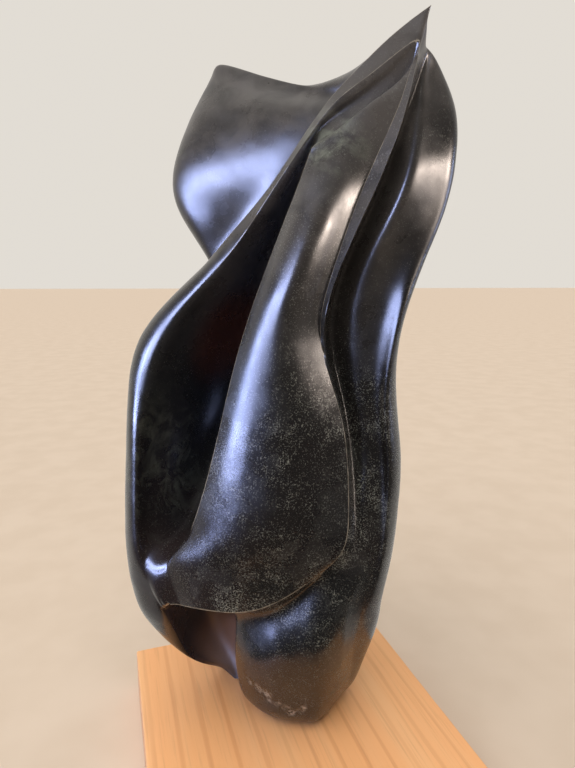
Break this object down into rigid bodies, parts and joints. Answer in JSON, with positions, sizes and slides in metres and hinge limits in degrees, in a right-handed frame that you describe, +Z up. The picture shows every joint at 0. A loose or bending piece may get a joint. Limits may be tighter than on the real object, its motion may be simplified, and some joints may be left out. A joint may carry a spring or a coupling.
{
  "type": "soapstone sculpture",
  "caption": "Small abstract stone carving with a pointed leaf, a rolled rim, a deep hollow and a swelling shoulder, standing on a square wooden block",
  "frame": {"origin": "centre of the wooden base's underside, on the surface the sculpture stands on", "axes": "+Z up from the base through the carving; +X and +Y along the sides of the square base, with -Y the side that the leaf faces. The carving is turned 18.1 degrees on the base, so its front looks towards -Y and a little towards -X"},
  "size_m": [0.1175, 0.1206, 0.2733],
  "materials": {
    "soapstone": "near-black soapstone with fine pale flecks, rubbed to a soft polish",
    "pale_wood": "pale straight-grained softwood, planed and lightly sealed"
  },
  "bodies": {
    "root": {"soapstone_carving": "soapstone", "wooden_base": "pale_wood"}
  },
  "joints": []
}
